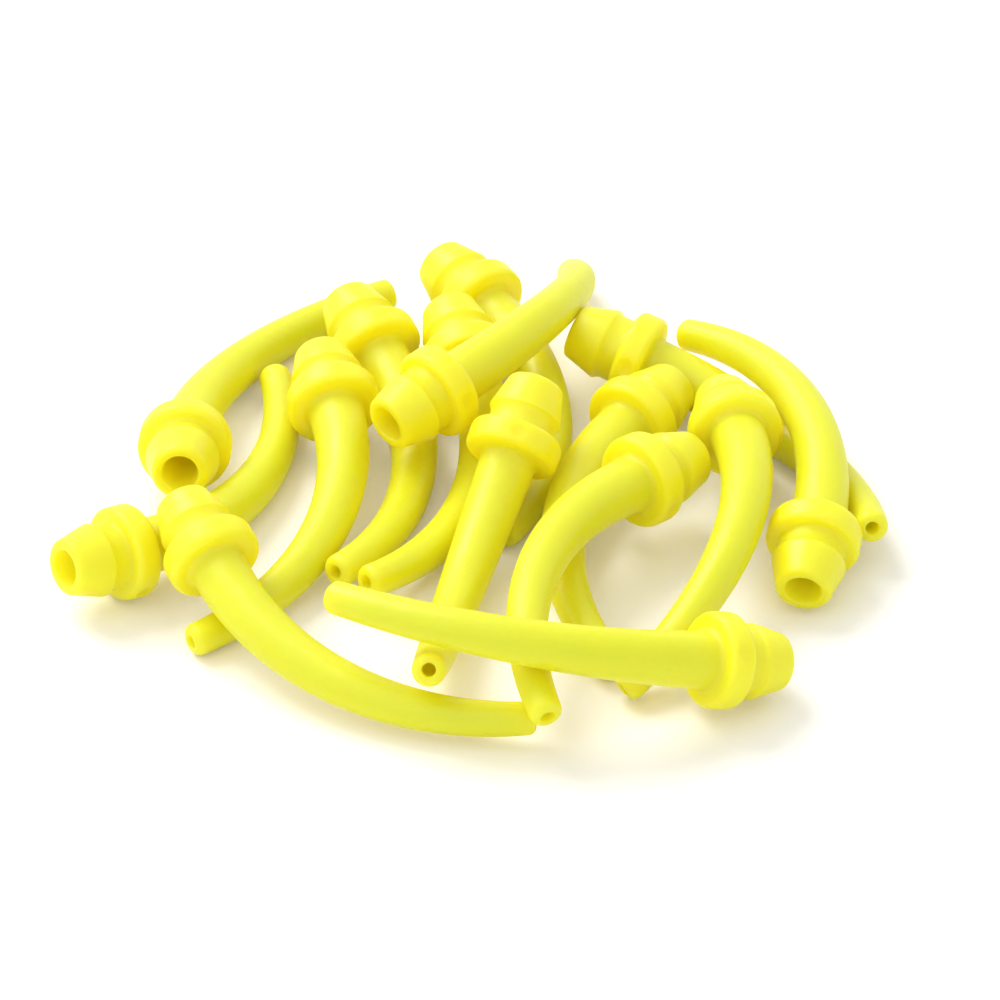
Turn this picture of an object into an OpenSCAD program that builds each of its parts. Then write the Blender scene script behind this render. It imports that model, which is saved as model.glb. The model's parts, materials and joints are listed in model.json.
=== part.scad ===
// A loose heap of curved dental tips. Every tip is one plastic moulding: a plug with an open
// mouth, a neck, a collar and a long curved barrel that tapers to an open nozzle.

/* [Plug] */
// Diameter of the plug at its open mouth
mouth_d = 4.3; // [3.6:0.1:4.8]
// Largest diameter of the plug, next to the neck
plug_d = 5.5; // [5.1:0.1:6.2]
// Length of the plug's cone
plug_len = 2.9; // [2:0.1:4.5]
// Rounding of the rim round the mouth
mouth_round = 0.4; // [0.1:0.05:0.6]
// Diameter of the neck that snaps into an outlet
neck_d = 5; // [4.6:0.1:5.4]
// Length of the neck
neck_len = 1.4; // [0.8:0.1:2.5]

/* [Collar] */
// Outside diameter of the collar
collar_d = 7; // [6.2:0.1:9]
// Length of the collar along the tip
collar_len = 2.1; // [1.4:0.1:3.5]
// Rounding of the collar's two edges
collar_round = 0.5; // [0.2:0.05:0.7]
// Diameter of the two round mould marks in the collar's side
mark_d = 1.3; // [0.6:0.1:1.3]
// Depth of the mould marks
mark_depth = 0.2; // [0.1:0.05:0.4]
// Turn of the first mark about the tip, from the inside of the bend
mark_turn = 0; // [0:5:360]
// Turn from the first mark to the second
marks_apart = 205; // [40:5:320]

/* [Barrel] */
// Length of the barrel along its curve, from the middle of the collar
barrel_len = 30; // [24:0.5:38]
// Diameter of the barrel where it leaves the collar
barrel_d = 4.3; // [3.6:0.1:4.8]
// Diameter of the barrel at its nozzle
nozzle_d = 2.4; // [2:0.1:3]
// Rounding of the nozzle's end
nozzle_round = 0.5; // [0.2:0.05:0.6]
// Straight stretch of the barrel before the bend begins
straight_len = 2; // [1.5:0.5:6]
// Angle that the barrel turns through
bend = 68; // [30:1:80]

/* [Passage] */
// Diameter of the straight bore in the plug
bore_d = 2.7; // [1.8:0.1:3]
// Diameter of the passage where the barrel's taper begins
passage_d = 2.2; // [1.4:0.1:2.6]
// Diameter of the straight outlet at the nozzle
outlet_d = 1; // [0.6:0.1:1.4]
// Length of the straight outlet
outlet_len = 1.5; // [0.8:0.1:2]

/* [Heap] */
// Air left between a tip and the table under it
table_gap = 0.05; // [0.02:0.01:0.3]

/* [Hidden] */
$fn = 48;

plug_start = -collar_len / 2 - neck_len - plug_len;
bore_end = collar_len / 2;
arc_len = barrel_len - straight_len;

// Sides and rings of the barrel, and of the passage inside it
BARREL_SIDES = 16;
BARREL_RINGS = 18;
PASSAGE_SIDES = 10;
PASSAGE_RINGS = 12;
ROUND_STEPS = 4;
EDGE_STEPS = 5;
OVERLAP = 0.5;

// The sizes of tip that the heap below is laid for
LAID_COLLAR_D = 7;
LAID_PLUG_D = 5.5;
LAID_BARREL_D = 4.3;
LAID_NOZZLE_D = 2.4;
LAID_BARREL_LEN = 30;

// How much the heap opens out for larger tips, or closes up for smaller ones
spread = max(
  collar_d / LAID_COLLAR_D,
  plug_d / LAID_PLUG_D,
  barrel_d / LAID_BARREL_D,
  nozzle_d / LAID_NOZZLE_D,
  barrel_len / LAID_BARREL_LEN
);

// How the heap lies, one row a tip. The collar's middle is at x and y. The heading is the way the
// barrel leaves the collar, from +X towards +Y. The roll turns the tip about its own axis: at 0 the
// barrel bends to the left, at 180 to the right, both level. The two lifts say how far the collar
// and the nozzle lie above where they would touch the table.
// name, x, y, heading, roll, collar lift, nozzle lift
HEAP = [
  ["tip_far_left",       -25.5,    -10,    37,     7,    0,  0.4],
  ["tip_front_left",       -19,  -13.5,   -64,    11,  2.2,  1.1],
  ["tip_front_right",     17.5,  -24.5,  -153,  -164,  0.8,  7.6],
  ["tip_left_rear",      -21.5,      3,    88,   169,  0.5,  0.9],
  ["tip_left_inner",     -10.5,      8,   -79,   179,  0.9,  0.1],
  ["tip_left_middle",     -7.5,   16.5,   -65,   164,  0.2,  1.5],
  ["tip_top",             -2.5,      5,    43,   -38,    4,    0],
  ["tip_middle",          -0.5,     14,   -75,   163,  0.7,  1.8],
  ["tip_rear",             0.5,     23,   -55,   175,    0,  0.2],
  ["tip_centre",             3,   -1.5,  -112,    72,  3.4,  5.6],
  ["tip_rear_right",      12.5,     15,   -24,   158,  0.1,  2.5],
  ["tip_centre_right",      12,    6.5,  -125,    -8,  0.2,    0],
  ["tip_right_inner",     12.5,     -4,  -135,   -18,  2.2,    3],
  ["tip_right_middle",    19.5,    2.5,   -81,  -150,  2.1,    0],
  ["tip_far_right",         25,   -8.5,    79,   -20,  0.1,  2.6]
];

// The barrel's centreline, by the distance along it from the middle of the collar
function turned(s) = s < straight_len ? 0 : bend * (s - straight_len) / arc_len;
bend_radius = arc_len / (bend * PI / 180);
function along(s) = s < straight_len ? s : straight_len + bend_radius * sin(turned(s));
function across(s) = bend_radius * (1 - cos(turned(s)));

// The barrel's and the passage's radius, by the same distance
function barrel_r(s) = (barrel_d + (nozzle_d - barrel_d) * s / barrel_len) / 2;
function passage_r(s) = (passage_d + (outlet_d - passage_d) * s / barrel_len) / 2;

// One ring of points square to the centreline
function ring(s, r, sides) = [
  for (i = [0 : sides - 1])
    let (a = 360 * i / sides, t = turned(s))
      [along(s) - r * cos(a) * sin(t), across(s) + r * cos(a) * cos(t), r * sin(a)]
];

// A closed tube through rings that are given as pairs of distance and radius
module sweep(stations, sides) {
  rings = len(stations);
  points = [for (st = stations) each ring(st[0], st[1], sides)];
  walls = [
    for (k = [0 : rings - 2], i = [0 : sides - 1])
      let (j = (i + 1) % sides)
        [k * sides + i, (k + 1) * sides + i, (k + 1) * sides + j, k * sides + j]
  ];
  first = [for (i = [0 : sides - 1]) i];
  last = [for (i = [sides - 1 : -1 : 0]) (rings - 1) * sides + i];
  polyhedron(points, concat(walls, [first, last]), convexity = 4);
}

module barrel() {
  start = collar_len / 2 - OVERLAP;
  body_end = barrel_len - nozzle_round;
  body = [
    for (k = [0 : BARREL_RINGS])
      let (s = start + (body_end - start) * k / BARREL_RINGS) [s, barrel_r(s)]
  ];
  end_round = [
    for (k = [1 : ROUND_STEPS])
      let (a = 90 * k / ROUND_STEPS)
        [body_end + nozzle_round * sin(a), barrel_r(body_end) - nozzle_round * (1 - cos(a))]
  ];
  sweep(concat(body, end_round), BARREL_SIDES);
}

// The tapering passage, from inside the bore to inside the straight outlet
module passage() {
  start = bore_end - OVERLAP;
  end = barrel_len - outlet_len / 2;
  sweep([
    for (k = [0 : PASSAGE_RINGS])
      let (s = start + (end - start) * k / PASSAGE_RINGS) [s, passage_r(s)]
  ], PASSAGE_SIDES);
}

module bore() {
  translate([plug_start - OVERLAP, 0, 0])
    rotate([0, 90, 0])
      cylinder(d = bore_d, h = bore_end - plug_start + OVERLAP);
}

module outlet() {
  translate([along(barrel_len), across(barrel_len), 0])
    rotate([0, 0, bend])
      translate([-outlet_len, 0, 0])
        rotate([0, 90, 0])
          cylinder(d = outlet_d, h = outlet_len + OVERLAP);
}

// Points of a rounded corner of radius r about (x, y), from angle a to angle b
function corner(x, y, r, a, b) = [
  for (k = [0 : EDGE_STEPS])
    let (t = a + (b - a) * k / EDGE_STEPS) [x + r * cos(t), y + r * sin(t)]
];

// Plug, neck and collar, turned in one piece
module plug_and_collar() {
  half = collar_len / 2;
  rim = collar_d / 2 - collar_round;
  outline = concat(
    [[0, half], [0, plug_start]],
    corner(mouth_d / 2 - mouth_round, plug_start + mouth_round, mouth_round, -90, 0),
    corner(plug_d / 2 - 0.15, -half - neck_len - 0.15, 0.15, 0, 90),
    [[neck_d / 2, -half - neck_len], [neck_d / 2, -half]],
    corner(rim, collar_round - half, collar_round, -90, 0),
    corner(rim, half - collar_round, collar_round, 0, 90)
  );
  rotate([0, 90, 0])
    rotate_extrude()
      polygon(outline);
}

// The two marks that the mould leaves in the collar's side
module mould_marks() {
  for (turn = [mark_turn, mark_turn + marks_apart])
    rotate([turn, 0, 0])
      translate([0, collar_d / 2 - mark_depth, 0])
        rotate([-90, 0, 0])
          cylinder(d = mark_d, h = mark_depth + OVERLAP);
}

module tip() {
  color("#FBE61E")
    difference() {
      union() {
        plug_and_collar();
        barrel();
      }
      bore();
      passage();
      outlet();
      mould_marks();
    }
}

// Places a tip as its row in HEAP says. The pitch about the collar brings the nozzle to its lift.
module place(row) {
  roll = row[4];
  collar_z = row[5] * spread + collar_d / 2 + 2 * table_gap;
  nozzle_z = row[6] * spread + nozzle_d / 2 + table_gap;
  ahead = along(barrel_len);
  side = across(barrel_len) * sin(roll);
  pitch = atan2(side, ahead) + asin((collar_z - nozzle_z) / norm([ahead, side]));
  translate([row[1] * spread, row[2] * spread, collar_z])
    rotate([roll, pitch, row[3]])
      children();
}

for (row = HEAP)
  place(row)
      tip();
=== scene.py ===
"""A loose heap of curved dental tips, moulded in waxy yellow plastic, on a white table."""

import json
import logging
import math
from dataclasses import dataclass, field
from enum import Enum

import bmesh
import bpy
from mathutils import Euler, Matrix, Vector


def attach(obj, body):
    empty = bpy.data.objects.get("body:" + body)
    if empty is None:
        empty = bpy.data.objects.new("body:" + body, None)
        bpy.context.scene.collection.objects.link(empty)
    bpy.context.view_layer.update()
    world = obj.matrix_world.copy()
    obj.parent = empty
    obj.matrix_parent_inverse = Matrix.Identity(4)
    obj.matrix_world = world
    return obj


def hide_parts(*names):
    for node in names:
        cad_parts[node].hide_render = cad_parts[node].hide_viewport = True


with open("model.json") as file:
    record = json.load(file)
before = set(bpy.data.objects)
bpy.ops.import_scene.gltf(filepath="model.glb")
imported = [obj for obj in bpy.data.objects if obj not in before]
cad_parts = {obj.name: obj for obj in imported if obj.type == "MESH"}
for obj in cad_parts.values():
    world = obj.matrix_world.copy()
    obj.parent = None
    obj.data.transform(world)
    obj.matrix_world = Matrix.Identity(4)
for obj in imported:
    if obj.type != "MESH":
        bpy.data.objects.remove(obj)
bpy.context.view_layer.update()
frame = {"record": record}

MM = 0.001
LOG = logging.getLogger("dental_tips")


class LampKind(Enum):
    """The kinds of lamp in the studio."""

    SUN = "SUN"
    AREA = "AREA"


class Surface(Enum):
    """Which side of the moulding a ring of the sweep lies on."""

    OUTSIDE = "outside"
    INSIDE = "inside"


@dataclass(frozen=True)
class Station:
    """One ring of the sweep: its distance along the tip from the collar's middle, and its radius."""

    distance: float
    radius: float
    surface: Surface = Surface.OUTSIDE


@dataclass(frozen=True)
class Resting:
    """How one tip lies: the collar's middle, two angles in degrees and two lifts, in millimetres."""

    name: str
    x: float
    y: float
    heading: float
    roll: float
    collar_lift: float
    nozzle_lift: float


@dataclass(frozen=True)
class WaxyPlastic:
    """The tips' finish: a soft yellow moulding that lets a little light in."""

    slot: str = "tip_plastic"
    light_tone: tuple[float, float, float] = (1.0, 0.88, 0.030)
    deep_tone: tuple[float, float, float] = (1.0, 0.82, 0.010)
    cloud_scale: float = 160.0
    grain_scale: float = 2600.0
    grain_depth: float = 0.00002
    sink_scale: float = 420.0
    sink_depth: float = 0.00012
    roughness: tuple[float, float] = (0.34, 0.48)
    glow_weight: float = 1.0
    glow_radius: tuple[float, float, float] = (1.0, 0.75, 0.12)
    glow_scale: float = 0.003

    def build(self) -> bpy.types.Material:
        """Makes the material.

        Returns:
            The finished material, patterned on Object coordinates.
        """
        material = bpy.data.materials.new("waxy_yellow_plastic")
        material.use_nodes = True
        nodes, links = material.node_tree.nodes, material.node_tree.links
        shader = nodes["Principled BSDF"]
        shader.inputs["Subsurface Weight"].default_value = self.glow_weight
        shader.inputs["Subsurface Radius"].default_value = self.glow_radius
        shader.inputs["Subsurface Scale"].default_value = self.glow_scale
        shader.inputs["IOR"].default_value = 1.47
        place = nodes.new("ShaderNodeTexCoord")
        clouds = self._noise(nodes, links, place, self.cloud_scale, detail=3.0)
        tones = nodes.new("ShaderNodeMix")
        tones.data_type = "RGBA"
        tones.inputs[6].default_value = (*self.deep_tone, 1.0)
        tones.inputs[7].default_value = (*self.light_tone, 1.0)
        links.new(clouds.outputs["Fac"], tones.inputs[0])
        links.new(tones.outputs[2], shader.inputs["Base Color"])
        gloss = nodes.new("ShaderNodeMapRange")
        gloss.inputs["From Min"].default_value = 0.3
        gloss.inputs["From Max"].default_value = 0.7
        gloss.inputs["To Min"].default_value = self.roughness[0]
        gloss.inputs["To Max"].default_value = self.roughness[1]
        links.new(clouds.outputs["Fac"], gloss.inputs["Value"])
        links.new(gloss.outputs["Result"], shader.inputs["Roughness"])
        sinks = self._bump(nodes, links, place, self.sink_scale, self.sink_depth)
        grain = self._bump(nodes, links, place, self.grain_scale, self.grain_depth)
        links.new(sinks.outputs["Normal"], grain.inputs["Normal"])
        links.new(grain.outputs["Normal"], shader.inputs["Normal"])
        return material

    def _noise(
        self,
        nodes: bpy.types.Nodes,
        links: bpy.types.NodeLinks,
        place: bpy.types.Node,
        scale: float,
        detail: float,
    ) -> bpy.types.Node:
        """Adds a noise pattern on Object coordinates.

        Args:
            nodes: The material's nodes.
            links: The material's links.
            place: The Texture Coordinate node.
            scale: How many cells of the pattern fit in a metre.
            detail: How many finer layers the pattern has.

        Returns:
            The noise node.
        """
        noise = nodes.new("ShaderNodeTexNoise")
        noise.inputs["Scale"].default_value = scale
        noise.inputs["Detail"].default_value = detail
        links.new(place.outputs["Object"], noise.inputs["Vector"])
        return noise

    def _bump(
        self,
        nodes: bpy.types.Nodes,
        links: bpy.types.NodeLinks,
        place: bpy.types.Node,
        scale: float,
        depth: float,
    ) -> bpy.types.Node:
        """Adds a bump that follows a noise pattern.

        Args:
            nodes: The material's nodes.
            links: The material's links.
            place: The Texture Coordinate node.
            scale: How many cells of the pattern fit in a metre.
            depth: How deep the bump reads, in metres.

        Returns:
            The bump node.
        """
        noise = self._noise(nodes, links, place, scale, detail=2.0)
        bump = nodes.new("ShaderNodeBump")
        bump.inputs["Strength"].default_value = 1.0
        bump.inputs["Distance"].default_value = depth
        links.new(noise.outputs["Fac"], bump.inputs["Height"])
        return bump


@dataclass(frozen=True)
class WhiteTable:
    """The table's finish: a matt white that reads as plain white where no shadow falls."""

    colour: tuple[float, float, float] = (0.93, 0.93, 0.93)
    lift: float = 0.10

    def build(self) -> bpy.types.Material:
        """Makes the material.

        Returns:
            The finished material.
        """
        material = bpy.data.materials.new("white_table")
        material.use_nodes = True
        nodes, links = material.node_tree.nodes, material.node_tree.links
        shader = nodes["Principled BSDF"]
        shader.inputs["Base Color"].default_value = (*self.colour, 1.0)
        shader.inputs["Roughness"].default_value = 0.6
        shader.inputs["Specular IOR Level"].default_value = 0.2
        rays = nodes.new("ShaderNodeLightPath")
        glow = nodes.new("ShaderNodeEmission")
        strength = nodes.new("ShaderNodeMath")
        strength.operation = "MULTIPLY"
        strength.inputs[1].default_value = self.lift
        links.new(rays.outputs["Is Camera Ray"], strength.inputs[0])
        links.new(strength.outputs["Value"], glow.inputs["Strength"])
        both = nodes.new("ShaderNodeAddShader")
        links.new(shader.outputs["BSDF"], both.inputs[0])
        links.new(glow.outputs["Emission"], both.inputs[1])
        links.new(both.outputs["Shader"], nodes["Material Output"].inputs["Surface"])
        return material


@dataclass(frozen=True)
class CurvedTip:
    """One tip: a plug with an open mouth, a neck, a collar and a curved barrel. Sizes in metres."""

    mouth_d: float = 4.3 * MM
    plug_d: float = 5.5 * MM
    plug_len: float = 2.9 * MM
    mouth_round: float = 0.45 * MM
    plug_round: float = 0.25 * MM
    neck_d: float = 5.0 * MM
    neck_len: float = 1.4 * MM
    neck_fillet: float = 0.25 * MM
    collar_d: float = 7.0 * MM
    collar_len: float = 2.1 * MM
    collar_round: float = 0.5 * MM
    mark_d: float = 1.3 * MM
    mark_depth: float = 0.2 * MM
    mark_turns: tuple[float, float] = (0.0, 205.0)
    barrel_len: float = 30.0 * MM
    barrel_d: float = 4.3 * MM
    barrel_fillet: float = 0.45 * MM
    nozzle_d: float = 2.4 * MM
    nozzle_round: float = 0.6 * MM
    straight_len: float = 2.0 * MM
    bend: float = math.radians(68)
    bore_d: float = 2.7 * MM
    bore_round: float = 0.15 * MM
    passage_d: float = 2.2 * MM
    outlet_d: float = 1.0 * MM
    outlet_len: float = 1.5 * MM
    outlet_round: float = 0.1 * MM
    seam_height: float = 0.012 * MM
    sides: int = 96
    barrel_rings: int = 44
    passage_rings: int = 24
    collar_rings: int = 8
    round_rings: int = 5

    def turned(self, distance: float) -> float:
        """How far the barrel has turned at a distance along it, in radians."""
        arc = self.barrel_len - self.straight_len
        return self.bend * max(0.0, distance - self.straight_len) / arc

    def centre(self, distance: float) -> Vector:
        """The point of the centreline at a distance from the collar's middle."""
        turned = self.turned(distance)
        radius = (self.barrel_len - self.straight_len) / self.bend
        straight = min(distance, self.straight_len)
        return Vector((straight + radius * math.sin(turned), radius * (1 - math.cos(turned)), 0))

    def barrel_radius(self, distance: float) -> float:
        """The barrel's outside radius at a distance along it."""
        share = distance / self.barrel_len
        return (self.barrel_d + (self.nozzle_d - self.barrel_d) * share) / 2

    def passage_radius(self, distance: float) -> float:
        """The passage's radius at a distance along the barrel."""
        share = distance / self.barrel_len
        return (self.passage_d + (self.outlet_d - self.passage_d) * share) / 2

    def _arc(
        self, distance: float, radius: float, size: float, start: float, end: float
    ) -> list[Station]:
        """A rounded edge.

        Args:
            distance: Where the arc's centre lies along the tip.
            radius: How far the arc's centre lies from the tip's axis.
            size: The arc's own radius.
            start: The angle where it starts, in degrees, from straight out towards the nozzle.
            end: The angle where it ends.

        Returns:
            The stations round the edge.
        """
        stations = []
        for step in range(self.round_rings + 1):
            angle = math.radians(start + (end - start) * step / self.round_rings)
            stations.append(
                Station(distance + size * math.sin(angle), radius + size * math.cos(angle))
            )
        return stations

    def _plug_outside(self) -> list[Station]:
        """The stations from the mouth's rim over the plug and along the neck."""
        half = self.collar_len / 2
        step = -half - self.neck_len
        mouth = step - self.plug_len
        rim = self.mouth_d / 2 - self.mouth_round
        crown = self.plug_d / 2 - self.plug_round
        fillet = self.neck_fillet
        neck = self.neck_d / 2
        return [
            *self._arc(mouth + self.mouth_round, rim, self.mouth_round, -90, 0),
            *self._arc(step - self.plug_round, crown, self.plug_round, -4, 60),
            Station(step + fillet / 2, neck + fillet / 4),
            Station(step + fillet, neck),
            Station(-half - fillet, neck),
            Station(-half - fillet / 4, neck + fillet / 4),
            Station(-half, neck + fillet),
        ]

    def _collar_outside(self) -> list[Station]:
        """The stations over the collar, with rings close enough for the mould marks."""
        half = self.collar_len / 2
        edge = half - self.collar_round
        rim = self.collar_d / 2 - self.collar_round
        between = []
        for ring in range(1, self.collar_rings):
            distance = -edge + 2 * edge * ring / self.collar_rings
            between.append(Station(distance, self.collar_d / 2))
        return [
            *self._arc(-edge, rim, self.collar_round, -90, 0),
            *between,
            *self._arc(edge, rim, self.collar_round, 0, 90),
        ]

    def _barrel_outside(self) -> list[Station]:
        """The stations from the collar's face along the barrel to the nozzle's rim."""
        half = self.collar_len / 2
        fillet = self.barrel_fillet
        stations = []
        for step in range(self.round_rings + 1):
            angle = math.radians(90 * step / self.round_rings)
            distance = half + fillet * (1 - math.cos(angle))
            radius = self.barrel_radius(distance) + fillet * (1 - math.sin(angle))
            stations.append(Station(distance, radius))
        start = half + fillet
        end = self.barrel_len - self.nozzle_round
        for ring in range(1, self.barrel_rings):
            distance = start + (end - start) * ring / self.barrel_rings
            stations.append(Station(distance, self.barrel_radius(distance)))
        rim = self.barrel_radius(end) - self.nozzle_round
        stations += self._arc(end, rim, self.nozzle_round, 0, 90)
        return stations

    def _hollow(self) -> list[Station]:
        """The stations back through the outlet, the passage and the bore."""
        inside = Surface.INSIDE
        outlet = self.outlet_d / 2
        soft = self.outlet_round
        end = self.barrel_len - self.outlet_len
        bore = self.bore_d / 2
        bore_end = self.collar_len / 2
        mouth = -bore_end - self.neck_len - self.plug_len
        stations = [
            Station(self.barrel_len, outlet + soft, inside),
            Station(self.barrel_len - soft / 3, outlet + soft / 3, inside),
            Station(self.barrel_len - soft, outlet, inside),
            Station(end, outlet, inside),
        ]
        for ring in range(self.passage_rings):
            distance = end + (bore_end - end) * (ring + 0.5) / (self.passage_rings + 0.5)
            stations.append(Station(distance, self.passage_radius(distance), inside))
        stations += [
            Station(bore_end, bore - self.bore_round, inside),
            Station(bore_end - self.bore_round, bore, inside),
            Station(mouth + self.bore_round, bore, inside),
            Station(mouth + self.bore_round / 3, bore + self.bore_round / 3, inside),
            Station(mouth, bore + self.bore_round, inside),
        ]
        return stations

    def stations(self) -> list[Station]:
        """All stations of the sweep, over the outside and back through the inside."""
        return [
            *self._plug_outside(),
            *self._collar_outside(),
            *self._barrel_outside(),
            *self._hollow(),
        ]

    def _ring_frame(self, station: Station) -> Matrix:
        """The transform that carries a unit circle to a station's ring."""
        return (
            Matrix.Translation(self.centre(station.distance))
            @ Matrix.Rotation(self.turned(station.distance), 4, "Z")
            @ Matrix.Rotation(math.pi / 2, 4, "Y")
            @ Matrix.Scale(station.radius, 4)
        )

    def _press_marks(self, shell: bmesh.types.BMesh) -> None:
        """Presses the two round mould marks into the collar's side.

        Args:
            shell: The tip's mesh, in its own frame.
        """
        soft_edge = 0.25 * MM
        for turn in self.mark_turns:
            angle = math.radians(turn)
            out = Vector((0, math.cos(angle), math.sin(angle)))
            for vertex in shell.verts:
                height = vertex.co.dot(out)
                if abs(vertex.co.x) > self.collar_len / 2 or height < self.neck_d / 2:
                    continue
                off_axis = (vertex.co - out * height).length
                share = min(1.0, max(0.0, (self.mark_d / 2 - off_axis) / soft_edge))
                vertex.co -= out * self.mark_depth * share * share * (3 - 2 * share)

    def shell(self) -> bmesh.types.BMesh:
        """Sweeps a circle over the outside and back through the inside, as one closed shell.

        Returns:
            The tip's mesh in its own frame: the collar's middle at the origin, the barrel
            leaving along +X and bending towards +Y.
        """
        shell = bmesh.new()
        stations = self.stations()
        bmesh.ops.create_circle(shell, segments=self.sides, radius=1.0)
        place = self._ring_frame(stations[0])
        bmesh.ops.transform(shell, matrix=place, verts=shell.verts[:])
        first = shell.edges[:]
        edges = first
        swept = []
        for station in stations[1:]:
            grown = bmesh.ops.extrude_edge_only(shell, edges=edges)["geom"]
            ring = [item for item in grown if isinstance(item, bmesh.types.BMVert)]
            edges = [item for item in grown if isinstance(item, bmesh.types.BMEdge)]
            edges = [edge for edge in edges if edge.is_boundary]
            step = self._ring_frame(station) @ place.inverted()
            bmesh.ops.transform(shell, matrix=step, verts=ring)
            place = self._ring_frame(station)
            if station.surface is Surface.OUTSIDE:
                swept.append((ring, station))
        bmesh.ops.bridge_loops(shell, edges=first + edges)
        for ring, station in swept:
            self._raise_seam(ring, station)
        self._press_marks(shell)
        bmesh.ops.recalc_face_normals(shell, faces=shell.faces[:])
        return shell

    def _raise_seam(self, ring: list[bmesh.types.BMVert], station: Station) -> None:
        """Lifts the parting line where the mould's halves met, in the plane of the bend.

        Args:
            ring: The ring's vertices, in the tip's own frame.
            station: The ring's station.
        """
        if station.distance < self.collar_len / 2 + self.barrel_fillet:
            return
        middle = self.centre(station.distance)
        on_seam = math.sin(math.pi / self.sides) * station.radius
        for vertex in ring:
            out = vertex.co - middle
            if abs(out.z) < on_seam:
                vertex.co += out.normalized() * self.seam_height


@dataclass(frozen=True)
class Heap:
    """The tips as they lie, loose, on each other and on the table."""

    tip: CurvedTip = field(default_factory=CurvedTip)
    table_gap: float = 0.05 * MM
    lie: tuple[Resting, ...] = (
        Resting("far_left", -25.5, -10, 37, 7, 0, 0.4),
        Resting("front_left", -19, -13.5, -64, 11, 2.2, 1.1),
        Resting("front_right", 17.5, -24.5, -153, -164, 0.8, 7.6),
        Resting("left_rear", -21.5, 3, 88, 169, 0.5, 0.9),
        Resting("left_inner", -10.5, 8, -79, 179, 0.9, 0.1),
        Resting("left_middle", -7.5, 16.5, -65, 164, 0.2, 1.5),
        Resting("top", -2.5, 5, 43, -38, 4, 0),
        Resting("middle", -0.5, 14, -75, 163, 0.7, 1.8),
        Resting("rear", 0.5, 23, -55, 175, 0, 0.2),
        Resting("centre", 3, -1.5, -112, 72, 3.4, 5.6),
        Resting("rear_right", 12.5, 15, -24, 158, 0.1, 2.5),
        Resting("centre_right", 12, 6.5, -125, -8, 0.2, 0),
        Resting("right_inner", 12.5, -4, -135, -18, 2.2, 3),
        Resting("right_middle", 19.5, 2.5, -81, -150, 2.1, 0),
        Resting("far_right", 25, -8.5, 79, -20, 0.1, 2.6),
    )

    def place(self, resting: Resting) -> Matrix:
        """Where a tip lies. Its pitch brings the nozzle to its lift.

        Args:
            resting: How the tip lies.

        Returns:
            The transform from the tip's own frame to the table.
        """
        tip = self.tip
        roll = math.radians(resting.roll)
        collar_z = resting.collar_lift * MM + tip.collar_d / 2 + 2 * self.table_gap
        nozzle_z = resting.nozzle_lift * MM + tip.nozzle_d / 2 + self.table_gap
        end = tip.centre(tip.barrel_len)
        side = end.y * math.sin(roll)
        reach = math.hypot(end.x, side)
        pitch = math.atan2(side, end.x) + math.asin((collar_z - nozzle_z) / reach)
        turn = Euler((roll, pitch, math.radians(resting.heading)), "XYZ")
        spot = Vector((resting.x * MM, resting.y * MM, collar_z))
        return Matrix.Translation(spot) @ turn.to_matrix().to_4x4()

    def build(self, finish: bpy.types.Material, slot: str) -> None:
        """Builds every tip, dresses it and lets it ride on its body.

        Args:
            finish: The tips' material.
            slot: The record's material slot for the tips; not used.
        """
        bodies = frame["record"]["behaviour"]["bodies"]
        body_of = {node: body for body, nodes in bodies.items() for node in nodes}
        shell = self.tip.shell()
        for resting in self.lie:
            node = "tip_" + resting.name
            lying = shell.copy()
            bmesh.ops.transform(lying, matrix=self.place(resting), verts=lying.verts[:])
            bmesh.ops.recalc_face_normals(lying, faces=lying.faces[:])
            mesh = bpy.data.meshes.new(resting.name + "_moulding")
            lying.to_mesh(mesh)
            lying.free()
            mesh.shade_smooth()
            mesh.materials.append(finish)
            piece = bpy.data.objects.new(resting.name + "_moulding", mesh)
            bpy.context.scene.collection.objects.link(piece)
            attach(piece, body_of[node])
            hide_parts(node)
            LOG.info("%s rides on %s, %d faces", piece.name, body_of[node], len(mesh.polygons))
        shell.free()


@dataclass(frozen=True)
class Lamp:
    """One lamp of the studio, aimed at the heap."""

    name: str
    kind: LampKind
    azimuth: float
    elevation: float
    strength: float
    spread: float
    distance: float = 1.0
    colour: tuple[float, float, float] = (1.0, 1.0, 1.0)

    def build(self) -> None:
        """Adds the lamp. Azimuth 0 is in front, and 90 on the right."""
        data = bpy.data.lights.new(self.name, self.kind.value)
        data.energy = self.strength
        data.color = self.colour
        if self.kind is LampKind.SUN:
            data.angle = math.radians(self.spread)
        else:
            data.shape = "DISK"
            data.size = self.spread
        lamp = bpy.data.objects.new(self.name, data)
        turn, rise = math.radians(self.azimuth), math.radians(self.elevation)
        away = Vector((math.sin(turn) * math.cos(rise), -math.cos(turn) * math.cos(rise), math.sin(rise)))
        lamp.location = away * self.distance
        lamp.rotation_euler = away.to_track_quat("Z", "Y").to_euler()
        bpy.context.scene.collection.objects.link(lamp)
        LOG.info("%s lamp at %g, %g degrees", self.name, self.azimuth, self.elevation)


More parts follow.
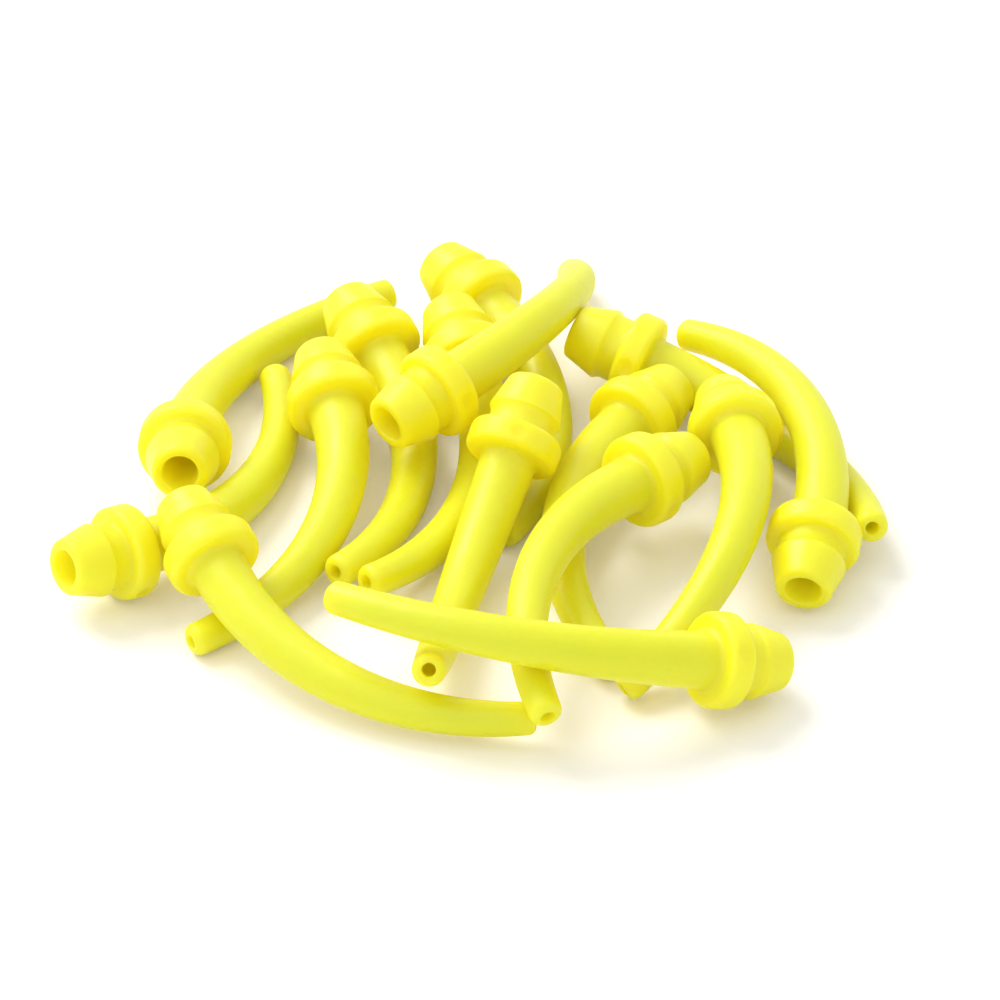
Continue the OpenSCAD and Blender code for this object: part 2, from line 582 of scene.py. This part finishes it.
@dataclass(frozen=True)
class Studio:
    """The table, the lamps, the sky and the camera."""

    table_size: float = 3.0
    sky: float = 0.74
    lamps: tuple[Lamp, ...] = (
        Lamp("key", LampKind.SUN, azimuth=-135, elevation=50, strength=1.7, spread=34),
        Lamp("fill", LampKind.SUN, azimuth=-60, elevation=50, strength=0.5, spread=80),
    )
    camera_aim: tuple[float, float, float] = (2.0 * MM, 1.6 * MM, 0.0)
    camera_azimuth: float = -0.2
    camera_elevation: float = 35.25
    camera_distance: float = 516.8 * MM
    lens: float = 248.7
    sensor: float = 36.0

    def _table(self) -> None:
        """Adds the table's top."""
        top = bmesh.new()
        bmesh.ops.create_grid(top, x_segments=1, y_segments=1, size=self.table_size / 2)
        mesh = bpy.data.meshes.new("table_top")
        top.to_mesh(mesh)
        top.free()
        mesh.materials.append(WhiteTable().build())
        table = bpy.data.objects.new("table_top", mesh)
        bpy.context.scene.collection.objects.link(table)

    def _sky(self) -> None:
        """Lights the scene from all round, and shows plain white to the camera."""
        world = bpy.data.worlds.new("studio")
        bpy.context.scene.world = world
        world.use_nodes = True
        nodes, links = world.node_tree.nodes, world.node_tree.links
        light = nodes["Background"]
        light.inputs["Color"].default_value = (1.0, 1.0, 1.0, 1.0)
        light.inputs["Strength"].default_value = self.sky
        backdrop = nodes.new("ShaderNodeBackground")
        backdrop.inputs["Color"].default_value = (1.0, 1.0, 1.0, 1.0)
        rays = nodes.new("ShaderNodeLightPath")
        seen = rays.outputs["Is Camera Ray"]
        for kind in ("Is Glossy Ray", "Is Transmission Ray"):
            either = nodes.new("ShaderNodeMath")
            either.operation = "MAXIMUM"
            links.new(seen, either.inputs[0])
            links.new(rays.outputs[kind], either.inputs[1])
            seen = either.outputs["Value"]
        mix = nodes.new("ShaderNodeMixShader")
        links.new(seen, mix.inputs["Fac"])
        links.new(light.outputs["Background"], mix.inputs[1])
        links.new(backdrop.outputs["Background"], mix.inputs[2])
        links.new(mix.outputs["Shader"], nodes["World Output"].inputs["Surface"])

    def _camera(self) -> None:
        """Adds the camera and makes it the scene's."""
        data = bpy.data.cameras.new("camera")
        data.lens = self.lens
        data.sensor_width = self.sensor
        data.clip_start = 0.01
        data.clip_end = 10.0
        camera = bpy.data.objects.new("camera", data)
        turn, rise = math.radians(self.camera_azimuth), math.radians(self.camera_elevation)
        away = Vector((math.sin(turn) * math.cos(rise), -math.cos(turn) * math.cos(rise), math.sin(rise)))
        camera.location = Vector(self.camera_aim) + away * self.camera_distance
        camera.rotation_euler = away.to_track_quat("Z", "Y").to_euler()
        bpy.context.scene.collection.objects.link(camera)
        bpy.context.scene.camera = camera

    def build(self) -> None:
        """Builds the whole studio."""
        self._table()
        self._sky()
        for lamp in self.lamps:
            lamp.build()
        self._camera()
        bpy.context.scene.view_settings.view_transform = "Standard"
        LOG.info("studio is ready")


def main() -> None:
    """Builds the studio and the heap, in order."""
    logging.basicConfig(level=logging.INFO, format="%(name)s: %(message)s")
    Studio().build()
    plastic = WaxyPlastic()
    Heap().build(plastic.build(), plastic.slot)


if __name__ == "__main__":
    main()
